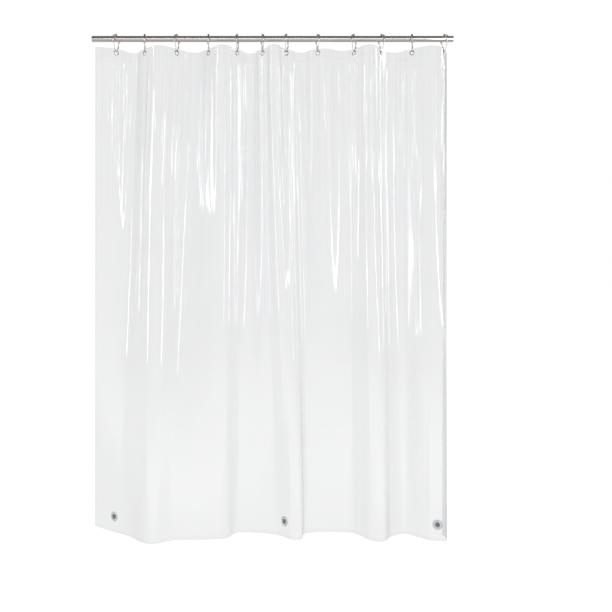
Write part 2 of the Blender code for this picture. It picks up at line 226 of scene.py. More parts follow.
class LinerMetalSettings(bpy.types.PropertyGroup):
    rod_colour: colour_setting("Rod steel", "Colour of the brushed rod", 0.62, 0.59, 0.57)
    wire_colour: colour_setting("Ring steel", "Colour of the rings' polished wire", 0.56, 0.55, 0.54)
    roller_colour: colour_setting("Roller plating", "Colour of the rollers", 0.80, 0.79, 0.77)
    grommet_colour: colour_setting("Grommet plating", "Colour of the grommets", 0.66, 0.66, 0.67)


class LinerStageSettings(bpy.types.PropertyGroup):
    distance: bpy.props.FloatProperty(
        name="Camera distance", description="From the rod", default=3.0, unit="LENGTH"
    )
    scale: bpy.props.FloatProperty(
        name="Frame width",
        description="Width that the camera takes in at the rod",
        default=2.295,
        unit="LENGTH",
    )
    side: bpy.props.FloatProperty(
        name="Camera to the right", description="From mid-rod", default=0.125, unit="LENGTH"
    )
    down: bpy.props.FloatProperty(
        name="Camera below rod", description="Below the rod's axis", default=1.001, unit="LENGTH"
    )
    floor: bpy.props.FloatProperty(
        name="Floor below hem", description="Clear height under the hem", default=0.14, unit="LENGTH"
    )


# Shared modelling steps

def deselect():
    if bpy.context.object and bpy.context.object.mode != "OBJECT":
        bpy.ops.object.mode_set(mode="OBJECT")
    bpy.ops.object.select_all(action="DESELECT")


def only(obj):
    deselect()
    obj.select_set(True)
    bpy.context.view_layer.objects.active = obj


def apply_modifiers(obj):
    only(obj)
    for modifier in list(obj.modifiers):
        bpy.ops.object.modifier_apply(modifier=modifier.name)


def spun(name, profile, steps, closed):
    """A profile of (radius, height) spun about Z; an open one starts and ends on the axis."""
    deselect()
    bpy.ops.mesh.primitive_circle_add(vertices=len(profile), radius=0.01)
    obj = bpy.context.object
    obj.name = name
    for vertex, (radius, height) in zip(obj.data.vertices, profile):
        vertex.co = (radius, 0.0, height)
    bpy.ops.object.mode_set(mode="EDIT")
    if not closed:
        mesh = bmesh.from_edit_mesh(obj.data)
        mesh.verts.ensure_lookup_table()
        ends = {mesh.verts[0], mesh.verts[len(profile) - 1]}
        closing = [edge for edge in mesh.edges if set(edge.verts) == ends]
        bmesh.ops.delete(mesh, geom=closing, context="EDGES")
        bmesh.update_edit_mesh(obj.data)
    bpy.ops.mesh.select_all(action="SELECT")
    bpy.ops.mesh.spin(steps=steps, angle=math.tau, center=(0, 0, 0), axis=(0, 0, 1))
    bpy.ops.mesh.select_all(action="SELECT")
    bpy.ops.mesh.remove_doubles(threshold=0.00001)
    bpy.ops.mesh.normals_make_consistent(inside=False)
    bpy.ops.object.mode_set(mode="OBJECT")
    return obj


def rounded_profile(points, radius, pieces=3):
    """The closed outline with each corner rounded to a radius."""
    points = [Vector(point) for point in points]
    outline = []
    for index, corner in enumerate(points):
        before, after = points[index - 1], points[(index + 1) % len(points)]
        to_before, to_after = before - corner, after - corner
        cut = min(radius, to_before.length * 0.45, to_after.length * 0.45)
        start = corner + to_before.normalized() * cut
        end = corner + to_after.normalized() * cut
        for piece in range(pieces + 1):
            t = piece / pieces
            outline.append(start * (1 - t) ** 2 + corner * 2 * t * (1 - t) + end * t**2)
    return [(point.x, point.y) for point in outline]


def copies(obj, names, matrices):
    """Copies of a piece, each with its own mesh put in place; the first piece is used up."""
    made = []
    for name, matrix in zip(names, matrices):
        data = obj.data.copy()
        data.transform(matrix)
        piece = bpy.data.objects.new(name, data)
        bpy.context.scene.collection.objects.link(piece)
        made.append(piece)
    bpy.data.objects.remove(obj)
    return made


def smooth(obj, angle=40):
    only(obj)
    bpy.ops.object.shade_smooth_by_angle(angle=math.radians(angle))


def stand_for(piece, look, slot, body, *nodes):
    piece.data.materials.clear()
    piece.data.materials.append(look)
    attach(piece, body)
    if nodes:
        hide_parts(*nodes)


def ring_body(number):
    return "curtain" if number == "01" else f"ring_{number}"


# Shared shader groups

def group(name, inputs, outputs):
    made = bpy.data.node_groups.new(name, "ShaderNodeTree")
    for label, kind, value in inputs:
        socket = made.interface.new_socket(name=label, in_out="INPUT", socket_type=kind)
        if value is not None:
            socket.default_value = value
    for label, kind in outputs:
        made.interface.new_socket(name=label, in_out="OUTPUT", socket_type=kind)
    enter = made.nodes.new("NodeGroupInput")
    leave = made.nodes.new("NodeGroupOutput")
    return made, enter, leave


def ranged(tree, source, low, high, to_low=0.0, to_high=1.0, kind="LINEAR"):
    """A value carried from one range to another."""
    node = tree.nodes.new("ShaderNodeMapRange")
    node.interpolation_type = kind
    node.inputs["From Min"].default_value = low
    node.inputs["From Max"].default_value = high
    node.inputs["To Min"].default_value = to_low
    node.inputs["To Max"].default_value = to_high
    tree.links.new(source, node.inputs["Value"])
    return node.outputs["Result"]


def noise(tree, place, scale, detail=2.0):
    """Noise of 0 to 1 at a place."""
    node = tree.nodes.new("ShaderNodeTexNoise")
    node.inputs["Scale"].default_value = scale
    node.inputs["Detail"].default_value = detail
    tree.links.new(place, node.inputs["Vector"])
    return node.outputs["Fac"]


def graded(tree, source, stops):
    """Colours over a value of 0 to 1, from stops of a position and a colour."""
    node = tree.nodes.new("ShaderNodeValToRGB")
    while len(node.color_ramp.elements) < len(stops):
        node.color_ramp.elements.new(0.5)
    for element, (position, colour) in zip(node.color_ramp.elements, stops):
        element.position = position
        element.color = (*colour, 1)
    tree.links.new(source, node.inputs["Fac"])
    return node.outputs["Color"]


def separated(tree, vector):
    node = tree.nodes.new("ShaderNodeSeparateXYZ")
    tree.links.new(vector, node.inputs["Vector"])
    return node.outputs


def new_look(name):
    """A material with its tree and its Principled shader."""
    made = bpy.data.materials.new(name)
    made.use_nodes = True
    return made, made.node_tree, made.node_tree.nodes["Principled BSDF"]


def handling_wear():
    """Soft smudges and fine scratches that vary a metal's colour and roughness."""
    name = "handling_wear"
    if name in bpy.data.node_groups:
        return bpy.data.node_groups[name]
    tree, enter, leave = group(
        name,
        (
            ("Vector", "NodeSocketVector", None),
            ("Colour", "NodeSocketColor", None),
            ("Smudge Scale", "NodeSocketFloat", 60.0),
            ("Least Roughness", "NodeSocketFloat", 0.1),
            ("Most Roughness", "NodeSocketFloat", 0.3),
        ),
        (("Colour", "NodeSocketColor"), ("Roughness", "NodeSocketFloat"), ("Height", "NodeSocketFloat")),
    )
    nodes, links = tree.nodes, tree.links
    smudge = noise(tree, enter.outputs["Vector"], 60.0, 5.0)
    links.new(enter.outputs["Smudge Scale"], smudge.node.inputs["Scale"])
    rough = ranged(tree, smudge, 0.3, 0.7)
    links.new(enter.outputs["Least Roughness"], rough.node.inputs["To Min"])
    links.new(enter.outputs["Most Roughness"], rough.node.inputs["To Max"])
    links.new(rough, leave.inputs["Roughness"])
    tint = nodes.new("ShaderNodeVectorMath")
    tint.operation = "SCALE"
    links.new(enter.outputs["Colour"], tint.inputs["Vector"])
    links.new(ranged(tree, smudge, 0.3, 0.7, 0.86, 1.0), tint.inputs["Scale"])
    links.new(tint.outputs["Vector"], leave.inputs["Colour"])
    links.new(noise(tree, enter.outputs["Vector"], 900.0, 3.0), leave.inputs["Height"])
    return tree


def metal(name, colour, least, most, stretch=(1, 1, 1), smudge=60.0, bump=0.00002):
    """Steel or plating; stretch squeezes its grain along one axis, as brushing does."""
    made, tree, shader = new_look(name)
    nodes, links = tree.nodes, tree.links
    shader.inputs["Metallic"].default_value = 1.0
    place = nodes.new("ShaderNodeTexCoord")
    grain = nodes.new("ShaderNodeMapping")
    grain.inputs["Scale"].default_value = stretch
    links.new(place.outputs["Object"], grain.inputs["Vector"])
    wear = nodes.new("ShaderNodeGroup")
    wear.node_tree = handling_wear()
    wear.inputs["Colour"].default_value = colour
    wear.inputs["Smudge Scale"].default_value = smudge
    wear.inputs["Least Roughness"].default_value = least
    wear.inputs["Most Roughness"].default_value = most
    links.new(grain.outputs["Vector"], wear.inputs["Vector"])
    links.new(wear.outputs["Colour"], shader.inputs["Base Color"])
    links.new(wear.outputs["Roughness"], shader.inputs["Roughness"])
    relief = nodes.new("ShaderNodeBump")
    relief.inputs["Strength"].default_value = 0.5
    relief.inputs["Distance"].default_value = bump
    links.new(wear.outputs["Height"], relief.inputs["Height"])
    links.new(relief.outputs["Normal"], shader.inputs["Normal"])
    return made


def film_detail():
    """Haze, with painted shade that keeps the upper film greyer than the film near the hem, roughness and
    fine relief of the film, from its flat coordinates in metres.
    """
    name = "film_detail"
    if name in bpy.data.node_groups:
        return bpy.data.node_groups[name]
    tree, enter, leave = group(
        name,
        (
            ("Vector", "NodeSocketVector", None),
            ("Haze", "NodeSocketFloat", 0.1),
            ("Weld", "NodeSocketFloat", 0.0),
            ("Crease", "NodeSocketFloat", 3.0),
        ),
        (("Haze", "NodeSocketFloat"), ("Roughness", "NodeSocketFloat"), ("Height", "NodeSocketFloat")),
    )
    nodes, links = tree.nodes, tree.links

    def eased_over(source, low, high, to_low, to_high):
        return ranged(tree, source, low, high, to_low, to_high, "SMOOTHSTEP")

    def joined(operation, first, second):
        node = nodes.new("ShaderNodeMath")
        node.operation = operation
        for socket, value in zip(node.inputs, (first, second)):
            if isinstance(value, float):
                socket.default_value = value
            else:
                links.new(value, socket)
        return node.outputs["Value"]

    def streaks(across, down, shift, detail):
        squeeze = nodes.new("ShaderNodeMapping")
        squeeze.inputs["Scale"].default_value = (across, down, 1.0)
        squeeze.inputs["Location"].default_value = (0.0, 0.0, shift)
        links.new(swayed.outputs["Vector"], squeeze.inputs["Vector"])
        return noise(tree, squeeze.outputs["Vector"], 1.0, detail)

    cloud = noise(tree, enter.outputs["Vector"], 3.0, 3.0)
    down = separated(tree, enter.outputs["Vector"])["Y"]

    # The streaks run nearly straight down, with a slow sway.
    sway = noise(tree, enter.outputs["Vector"], 2.2, 0.0)
    offset = nodes.new("ShaderNodeCombineXYZ")
    links.new(ranged(tree, sway, 0.0, 1.0, -0.007, 0.007), offset.inputs["X"])
    swayed = nodes.new("ShaderNodeVectorMath")
    swayed.operation = "ADD"
    links.new(enter.outputs["Vector"], swayed.inputs[0])
    links.new(offset.outputs["Vector"], swayed.inputs[1])

    # Relief: fine wrinkles in the top third, and broad ones all the way down.
    top = joined("MULTIPLY", eased_over(down, 0.02, 0.09, 0.0, 1.0), eased_over(down, 0.20, 0.72, 1.0, 0.05))
    fine = ranged(tree, streaks(95.0, 0.55, 0.0, 1.0), 0.25, 0.75, -0.5, 0.5)
    ridges = ranged(tree, streaks(30.0, 0.35, 4.0, 1.0), 0.2, 0.8, -1.0, 1.0)
    folded = joined("ABSOLUTE", ridges, 0.0)
    creases = joined("ADD", joined("MULTIPLY", fine, 0.45), joined("MULTIPLY", folded, 0.9))
    creases = joined("MULTIPLY", joined("MULTIPLY", creases, top), enter.outputs["Crease"])
    broad = joined("MULTIPLY", streaks(9.0, 0.25, 9.0, 0.0), eased_over(down, 0.4, 1.2, 0.8, 0.3))
    links.new(joined("ADD", creases, broad), leave.inputs["Height"])

    # Haze: cloudy, with upright lines that fade downwards. It eases off near the hem: painted shade that
    # keeps the upper film greyer and the film near the hem lighter.
    clouded = eased_over(cloud, 0.3, 0.7, 0.75, 1.25)
    # Painted shade: the haze share falls from 1.0 to 0.6 between 0.9 and 1.7 m down, so the film is greyer
    # above and lighter near the hem.
    share = joined("MULTIPLY", clouded, eased_over(down, 0.9, 1.7, 1.0, 0.6))
    lines = ranged(tree, streaks(60.0, 0.4, 13.0, 2.0), 0.3, 0.75, -0.5, 0.7)
    lines = joined("ADD", joined("MULTIPLY", lines, eased_over(down, 0.1, 0.8, 1.0, 0.12)), 1.0)
    haze_with_painted_shade = joined("MULTIPLY", joined("MULTIPLY", share, lines), enter.outputs["Haze"])
    links.new(joined("ADD", haze_with_painted_shade, enter.outputs["Weld"]), leave.inputs["Haze"])
    links.new(eased_over(cloud, 0.3, 0.7, 0.05, 0.13), leave.inputs["Roughness"])
    return tree


def clear_film(name, tint, haze, weld_attribute, relief_depth):
    """Thin clear film: mostly seen through, mirrored more the flatter it is seen, a little hazy."""
    made, tree, _ = new_look(name)
    nodes, links = tree.nodes, tree.links
    nodes.clear()
    output = nodes.new("ShaderNodeOutputMaterial")
    place = nodes.new("ShaderNodeUVMap")
    place.uv_map = "film"
    weld = nodes.new("ShaderNodeAttribute")
    weld.attribute_name = weld_attribute
    detail = nodes.new("ShaderNodeGroup")
    detail.node_tree = film_detail()
    detail.inputs["Haze"].default_value = haze
    links.new(place.outputs["UV"], detail.inputs["Vector"])
    links.new(weld.outputs["Fac"], detail.inputs["Weld"])
    relief = nodes.new("ShaderNodeBump")
    relief.inputs["Strength"].default_value = 1.0
    relief.inputs["Distance"].default_value = relief_depth
    links.new(detail.outputs["Height"], relief.inputs["Height"])

    slant = nodes.new("ShaderNodeLayerWeight")
    slant.inputs["Blend"].default_value = 0.5
    links.new(relief.outputs["Normal"], slant.inputs["Normal"])
    steep = nodes.new("ShaderNodeMath")
    steep.operation = "POWER"
    steep.inputs[1].default_value = 4.0
    links.new(slant.outputs["Facing"], steep.inputs[0])
    gloss = ranged(tree, steep.outputs["Value"], 0.0, 1.0, 0.08, 0.75)
    thicker = nodes.new("ShaderNodeMath")
    thicker.operation = "POWER"
    thicker.inputs[1].default_value = 1.5
    links.new(slant.outputs["Facing"], thicker.inputs[0])
    tinted = nodes.new("ShaderNodeMix")
    tinted.data_type = "RGBA"
    tinted.inputs["A"].default_value = tint
    tinted.inputs["B"].default_value = (*[0.90 * part for part in tint[:3]], 1.0)
    links.new(thicker.outputs["Value"], tinted.inputs["Factor"])

    through = nodes.new("ShaderNodeBsdfTransparent")
    links.new(tinted.outputs["Result"], through.inputs["Color"])
    scatter = nodes.new("ShaderNodeBsdfPrincipled")
    scatter.inputs["Base Color"].default_value = (0.80, 0.81, 0.83, 1.0)
    scatter.inputs["Roughness"].default_value = 0.5
    mirror = nodes.new("ShaderNodeBsdfPrincipled")
    mirror.inputs["Base Color"].default_value = (0.97, 0.97, 0.98, 1.0)
    mirror.inputs["Metallic"].default_value = 1.0
    links.new(detail.outputs["Roughness"], mirror.inputs["Roughness"])
    links.new(relief.outputs["Normal"], mirror.inputs["Normal"])

    body = nodes.new("ShaderNodeMixShader")
    links.new(detail.outputs["Haze"], body.inputs["Fac"])
    links.new(through.outputs["BSDF"], body.inputs[1])
    links.new(scatter.outputs["BSDF"], body.inputs[2])
    film = nodes.new("ShaderNodeMixShader")
    links.new(gloss, film.inputs["Fac"])
    links.new(body.outputs["Shader"], film.inputs[1])
    links.new(mirror.outputs["BSDF"], film.inputs[2])
    links.new(film.outputs["Shader"], output.inputs["Surface"])
    return made


# Plan of the film

def fold_angles(start, end, swell, lean):
    turn = math.pi * (np.arange(PLAN_STEPS) + 0.5) / PLAN_STEPS
    bow = np.sin(turn) ** 2
    blend = (start + end) / 2 + (start - end) / 2 * np.cos(turn)
    return blend + swell * bow * np.cos(turn) + lean * bow


def solved_fold(start, end, chord):
    """Directions along one fold whose ends are level and chord apart, as a share of its length."""
    def fault(swell, lean):
        angles = fold_angles(start, end, swell, lean)
        return np.array((np.cos(angles).mean() - chord, np.sin(angles).mean()))

    guess = np.array((1.0 if start > end else -1.0, -(start + end) / 2))
    small = 1e-5
    for _ in range(60):
        now = fault(*guess)
        if np.abs(now).max() < 1e-10:
            break
        slope = np.column_stack(
            ((fault(guess[0] + small, guess[1]) - now), (fault(guess[0], guess[1] + small) - now))
        ) / small
        guess = guess - np.clip(np.linalg.solve(slope, now), -0.3, 0.3)
    return fold_angles(start, end, *guess)


def top_plan():
    """Length along the film and plan points of its top edge, through the frame's rings."""
    turn = math.pi * (np.arange(PLAN_STEPS) + 0.5) / PLAN_STEPS

    def flap(start, end):
        return (start + end) / 2 + (start - end) / 2 * np.cos(turn)

    lengths, angles = [], []
    stretches = [(GROMMET_MARGIN, flap(FIRST_EDGE_TURN, FILM_TURNS[0]))]
    for index in range(len(RING_NAMES) - 1):
        chord = (RING_CENTRES[index + 1].x - RING_CENTRES[index].x) / GROMMET_PITCH
        stretches.append((GROMMET_PITCH, solved_fold(FILM_TURNS[index], FILM_TURNS[index + 1], chord)))
    stretches.append((GROMMET_MARGIN, flap(FILM_TURNS[-1], LAST_EDGE_TURN)))
    for length, turns in stretches:
        lengths.append(np.full(PLAN_STEPS, length / PLAN_STEPS))
        angles.append(turns)
    steps, angles = np.concatenate(lengths), np.concatenate(angles)
    along = np.concatenate(([0.0], np.cumsum(steps)))
    x = np.concatenate(([0.0], np.cumsum(steps * np.cos(angles))))
    y = np.concatenate(([0.0], np.cumsum(steps * np.sin(angles))))
    x += RING_CENTRES[0].x - np.interp(GROMMET_MARGIN, along, x)
    y -= np.interp(GROMMET_MARGIN, along, y)
    return along, x, y


def smooth_through(points, pieces=24):
    """Catmull-Rom curve through the points."""
    ends = np.vstack((2 * points[0] - points[1], points, 2 * points[-1] - points[-2]))
    t = (np.arange(pieces) / pieces)[:, None]
    curve = []
    for index in range(len(points) - 1):
        a, b, c, d = ends[index : index + 4]
        curve.append(
            0.5
            * (2 * b + (c - a) * t + (2 * a - 5 * b + 4 * c - d) * t**2 + (3 * b - a - 3 * c + d) * t**3)
        )
    return np.vstack(curve + [points[-1:]])


def hem_plan():
    """Length along the film and plan points of its hem."""
    first = RING_CENTRES[0].x
    hung = RING_CENTRES[-1].x - first
    shallow, deep = 0.0, 4.0
    for _ in range(40):
        depth = (shallow + deep) / 2
        points = np.array([(first + across * hung, back * depth) for across, back in HEM_PLAN])
        curve = smooth_through(points)
        along = np.concatenate(([0.0], np.cumsum(np.linalg.norm(np.diff(curve, axis=0), axis=1))))
        if along[-1] < FILM_WIDTH:
            shallow = depth
        else:
            deep = depth
    along *= FILM_WIDTH / along[-1]
    return along, curve[:, 0], curve[:, 1]


def eased(share):
    share = np.clip(share, 0.0, 1.0)
    return share * share * (3 - 2 * share)


def flat_at_magnets(s, along, values):
    """The hem's plan with a straight stretch under each magnet's patch, eased into its folds."""
    made = np.interp(s, along, values)
    for centre in (MAGNET_FROM_SIDE, FILM_WIDTH / 2, FILM_WIDTH - MAGNET_FROM_SIDE):
        start, end = np.interp((centre - MAGNET_FLAT, centre + MAGNET_FLAT), along, values)
        chord = start + (end - start) * ((s - centre) / (2 * MAGNET_FLAT) + 0.5)
        near = 1 - eased((np.abs(s - centre) - MAGNET_FLAT) / MAGNET_FLAT)
        made = made + (chord - made) * near
    return made


def film_surface(s, v):
    """Points of the hung film for arrays of lengths along (s) and down (v) it, rows in v."""
    along_top, x_top, y_top = top_plan()
    along_hem, x_hem, y_hem = hem_plan()
    share = np.clip((v - HEADER_STRAIGHT) / (FILM_DROP - HEM_BAND - HEADER_STRAIGHT), 0, 1)
    share = 0.7 * share + 0.3 * eased(share)
    tx, ty = np.interp(s, along_top, x_top), np.interp(s, along_top, y_top)
    hx, hy = flat_at_magnets(s, along_hem, x_hem), flat_at_magnets(s, along_hem, y_hem)
    hy = hy + (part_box("curtain_sheet")[1].y - FILM_THICK / 2 - y_hem.max())
    x = tx[None, :] * (1 - share[:, None]) + hx[None, :] * share[:, None]
    y = ty[None, :] * (1 - share[:, None]) + hy[None, :] * share[:, None]
    return x, y


def settle(x, y, v):
    """Heights that keep each column of the film at its true length."""
    step = np.diff(v)[:, None]
    across = np.diff(x, axis=0) ** 2 + np.diff(y, axis=0) ** 2
    drop = np.sqrt(np.maximum(step**2 - across, (0.5 * step) ** 2))
    return FILM_TOP - np.vstack((np.zeros((1, x.shape[1])), np.cumsum(drop, axis=0)))


def wrinkles(s, v, depth):
    """Height of the upright wrinkles off the smooth folds, in metres, rows in v."""
    rng = np.random.default_rng(12)
    S, V = np.meshgrid(s, v)
    height = np.zeros_like(S)

    # Tension wrinkles that fan out below each grommet.
    for index, centre in enumerate(GROMMET_ALONG):
        ds, dv = S - centre, V - GROMMET_DOWN
        radius = np.hypot(ds, dv)
        angle = np.arctan2(ds, dv)
        reach = rng.uniform(0.20, 0.34)
        rise = eased((radius - 0.012) / 0.05) * eased((reach - radius) / reach)
        leans = (-0.62, -0.09) if index == 0 else rng.uniform(-0.45, 0.45, 4)
        for lean in leans:
            narrow = rng.uniform(0.05, 0.10)
            size = rng.uniform(0.3, 0.9) * rng.choice((-1, 1))
            height += depth * size * rise * np.exp(-(((angle - lean) / narrow) ** 2))

    # Long upright wrinkles that fade before the hem.
    for _ in range(20):
        centre = rng.uniform(0, FILM_WIDTH)
        width = rng.uniform(0.010, 0.018)
        tilt = rng.normal(0, 0.010)
        start = rng.uniform(-0.05, 0.30)
        end = start + rng.uniform(0.45, 0.90)
        line = centre + tilt * (V - start)
        fade = eased((V - start) / 0.12) * eased((end - V) / 0.35)
        size = rng.uniform(0.3, 1.0) * rng.choice((-1, 1))
        height += depth * size * fade * np.exp(-(((S - line) / width) ** 2))

    # Long sharp creases, in turn forward and back.
    for index, (upper, lower, start, end, size) in enumerate(CREASES):
        line = upper + (lower - upper) * (V - start) / (end - start)
        fade = eased((V - start) / 0.10) * eased((end - V) / 0.22)
        crest = depth * (3.8 if index % 2 else -3.8) * size * fade
        height += crest * np.exp(-(((S - line) / (CREASE_WIDTH * max(size, 1.0))) ** 2))
    return height


def film_grid(column, row):
    """Lengths along and down the film where its mesh has points, closer near the grommets."""
    s = np.linspace(0, FILM_WIDTH, int(round(FILM_WIDTH / column)) + 1)
    near = np.arange(0, 0.036, 0.003)
    v = np.concatenate((near, np.linspace(0.036, FILM_DROP, int(round(FILM_DROP / row)))))
    return s, v


def open_holes(obj, s, v, radius):
    """Takes the film out of each grommet and rounds the hole; returns flat coordinates."""
    S, V = np.meshgrid(s, v)
    flat = np.column_stack((S.ravel(), V.ravel()))
    centres = [np.array((along, GROMMET_DOWN)) for along in GROMMET_ALONG]
    mesh = bmesh.new()
    mesh.from_mesh(obj.data)
    mesh.verts.ensure_lookup_table()
    gone = []
    for face in mesh.faces:
        spot = flat[[vert.index for vert in face.verts]].mean(axis=0)
        if spot[1] < 0.04 and any(np.hypot(*(spot - centre)) < radius for centre in centres):
            gone.append(face)
    rim = {vert.index for face in gone for vert in face.verts}
    for index in rim:
        centre = min(centres, key=lambda c: np.hypot(*(flat[index] - c)))
        away = flat[index] - centre
        flat[index] = centre + away / max(np.hypot(*away), 1e-9) * radius
    marked = mesh.verts.layers.int.new("grid")
    for vert in mesh.verts:
        vert[marked] = vert.index
    bmesh.ops.delete(mesh, geom=gone, context="FACES")
    mesh.to_mesh(obj.data)
    mesh.free()
    kept = np.zeros(len(obj.data.vertices), dtype=np.int32)
    obj.data.attributes["grid"].data.foreach_get("value", kept)
    obj.data.attributes.remove(obj.data.attributes["grid"])
    return flat[kept]


def sampled(field, s, v, flat):
    """A field on the grid, read at flat coordinates by straight interpolation."""
    column = np.clip(np.searchsorted(s, flat[:, 0], side="right") - 1, 0, len(s) - 2)
    row = np.clip(np.searchsorted(v, flat[:, 1], side="right") - 1, 0, len(v) - 2)
    a = (flat[:, 0] - s[column]) / (s[column + 1] - s[column])
    b = (flat[:, 1] - v[row]) / (v[row + 1] - v[row])
    return (
        field[row, column] * (1 - a) * (1 - b)
        + field[row, column + 1] * a * (1 - b)
        + field[row + 1, column] * (1 - a) * b
        + field[row + 1, column + 1] * a * b
    )


class LINER_OT_film(bpy.types.Operator):
    """Builds the hung clear film with its folds, wrinkles and grommet holes"""

    bl_idname = "liner.film"
    bl_label = "Film"

    def execute(self, context):
        settings = context.scene.liner_film
        s, v = film_grid(settings.column, settings.row)
        x, y = film_surface(s, v)
        z = settle(x, y, v)
        tangent = np.stack((np.gradient(x, axis=1), np.gradient(y, axis=1)))
        tangent /= np.linalg.norm(tangent, axis=0)
        height = wrinkles(s, v, settings.wrinkle)
        x = x + tangent[1] * height
        y = y - tangent[0] * height

        deselect()
        bpy.ops.mesh.primitive_grid_add(
            x_subdivisions=len(s) - 1, y_subdivisions=len(v) - 1, size=FILM_WIDTH
        )
        film = context.object
        film.name = "liner_film"
        flat = open_holes(film, s, v[::-1], FILM_HOLE_RADIUS)
        flat_v = flat[:, 1]
        points = np.column_stack([sampled(field, s, v, flat) for field in (x, y, z)])
        film.data.vertices.foreach_set("co", points.astype(np.float32).ravel())

        only(film)
        bpy.ops.object.mode_set(mode="EDIT")
        bpy.ops.mesh.select_all(action="SELECT")
        bpy.ops.mesh.normals_make_consistent(inside=False)
        bpy.ops.object.mode_set(mode="OBJECT")
        film.data.update()
        facing = sum(polygon.normal.y for polygon in film.data.polygons)
        if facing > 0:
            film.data.flip_normals()
        bpy.ops.object.shade_smooth()

        layer = film.data.uv_layers[0]
        layer.name = "film"
        corners = np.zeros(len(film.data.loops), dtype=np.int32)
        film.data.loops.foreach_get("vertex_index", corners)
        layer.data.foreach_set("uv", flat[corners].astype(np.float32).ravel())
        # Haze that the top band and its seam, the sides, the top edge and the hem add.
        weld = 0.02 * (flat_v < 0.034) + 0.03 * (np.abs(flat_v - 0.034) < 0.0015)
        weld += 0.15 * ((flat[:, 0] < 0.003) | (flat[:, 0] > FILM_WIDTH - 0.003))
        weld += 0.15 * (flat_v < 0.001) + 0.12 * (flat_v > FILM_DROP - 0.004)
        film.data.attributes.new("weld", "FLOAT", "POINT").data.foreach_set(
            "value", weld.astype(np.float32)
        )
        look = clear_film("clear_film", settings.tint, settings.haze, "weld", 0.0011)
        stand_for(film, look, "clear_film", "curtain", "curtain_sheet")
        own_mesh(film)
        return {"FINISHED"}


# Rod, rings, rollers, grommets and magnets

class LINER_OT_rod(bpy.types.Operator):
    """Builds the rod as a tube with eased cut ends"""

    bl_idname = "liner.rod"
    bl_label = "Rod"

    def execute(self, context):
        colour = context.scene.liner_metal.rod_colour
        deselect()
        bpy.ops.mesh.primitive_cylinder_add(
            vertices=96,
            radius=ROD_RADIUS,
            depth=2 * ROD_HALF,
            end_fill_type="NOTHING",
            rotation=(0, math.pi / 2, 0),
        )
        tube = context.object
        tube.name = "rod_tube"
        bpy.ops.object.transform_apply(location=True, rotation=True, scale=True)
        wall = tube.modifiers.new("wall", "SOLIDIFY")
        wall.thickness = ROD_WALL
        wall.offset = -1
        ease = tube.modifiers.new("eased_ends", "BEVEL")
        ease.width = 0.0002
        ease.segments = 2
        ease.limit_method = "ANGLE"
        ease.angle_limit = math.radians(40)
        apply_modifiers(tube)
        smooth(tube, 35)
        steel = metal(
            "brushed_rod", colour, 0.13, 0.19, stretch=(0.06, 1, 1), smudge=180.0, bump=0.000002
        )
        stand_for(tube, steel, "rod_steel", "rod", "rod")
        return {"FINISHED"}


def ring_shape():
    top = ROD_RADIUS + SMALL_GAP + ROLLER_RADIUS
    arc_radius = top + ARC_OVER_CONTACT
    arc_height = top - arc_radius
    foot_height = -RING_DROP + FOOT_RADIUS
    slope = math.asin((arc_radius - FOOT_RADIUS) / (arc_height - foot_height))
    return arc_radius, arc_height, foot_height, slope


def arc_points(radius, height, first, last, pieces):
    """Points in the ring's plane; angles in degrees run from the top towards the front."""
    angles = np.radians(np.linspace(first, last, pieces + 1))
    return [
        Vector((0, -radius * math.sin(angle), height + radius * math.cos(angle)))
        for angle in angles
    ]


def wire_route():
    """The wire from its free tip, over the rod, round the foot to the tip that it clasps."""
    arc_radius, arc_height, foot_height, slope = ring_shape()
    lean = math.degrees(slope)
    arc = arc_points(arc_radius, arc_height, -90 - lean, 90 + lean, 40)
    foot = arc_points(FOOT_RADIUS, foot_height, 90 + lean, 270 - lean, 16)
    leg_top, leg_foot = arc[0], foot[-1]
    beside = Vector((2 * WIRE_RADIUS + SMALL_GAP, 0, 0))
    free_leg = [
        leg_top.lerp(leg_foot, 0.66) + beside,
        leg_top.lerp(leg_foot, 0.52) + beside,
        leg_top.lerp(leg_foot, 0.38) + beside,
    ]
    for share in (0.8, 0.6, 0.4, 0.2):
        place = 0.15 + (0.38 - 0.15) * share
        free_leg.append(leg_top.lerp(leg_foot, place) + beside * float(eased(share)))
    free_leg.append(leg_top.lerp(leg_foot, 0.15))
    return free_leg + arc + foot + [leg_top.lerp(leg_foot, 0.46)]


class LINER_OT_rings(bpy.types.Operator):
    """Builds the twelve pear-shaped ring wires with their clasps"""

    bl_idname = "liner.rings"
    bl_label = "Ring wires"

    def execute(self, context):
        data = bpy.data.curves.new("ring_route", "CURVE")
        data.dimensions = "3D"
        data.bevel_depth = WIRE_RADIUS
        data.bevel_resolution = 4
        data.use_fill_caps = True
        spline = data.splines.new("POLY")
        route = wire_route()
        spline.points.add(len(route) - 1)
        for slot, point in zip(spline.points, route):
            slot.co = (*point, 1.0)
        wire = bpy.data.objects.new("ring_route", data)
        context.scene.collection.objects.link(wire)
        only(wire)
        bpy.ops.object.convert(target="MESH")
        wire = context.object
        bpy.ops.object.mode_set(mode="EDIT")
        bpy.ops.mesh.select_all(action="SELECT")
        bpy.ops.mesh.remove_doubles(threshold=0.00001)
        bpy.ops.object.mode_set(mode="OBJECT")
        ease = wire.modifiers.new("eased_tips", "BEVEL")
        ease.width = 0.0004
        ease.segments = 2
        ease.limit_method = "ANGLE"
        ease.angle_limit = math.radians(60)
        apply_modifiers(wire)
        smooth(wire, 50)
        look = metal("ring_steel", context.scene.liner_metal.wire_colour, 0.10, 0.2, smudge=220.0)
        places = [
            Matrix.Translation((centre.x, 0, 0)) @ Matrix.Rotation(turn, 4, "Z")
            for centre, turn in zip(RING_CENTRES, RING_TURNS)
        ]
        names = [f"ring_wire_{number}" for number in RING_NAMES]
        for piece, number in zip(copies(wire, names, places), RING_NAMES):
            stand_for(piece, look, "wire_steel", ring_body(number), f"hook_{number}")
        return {"FINISHED"}


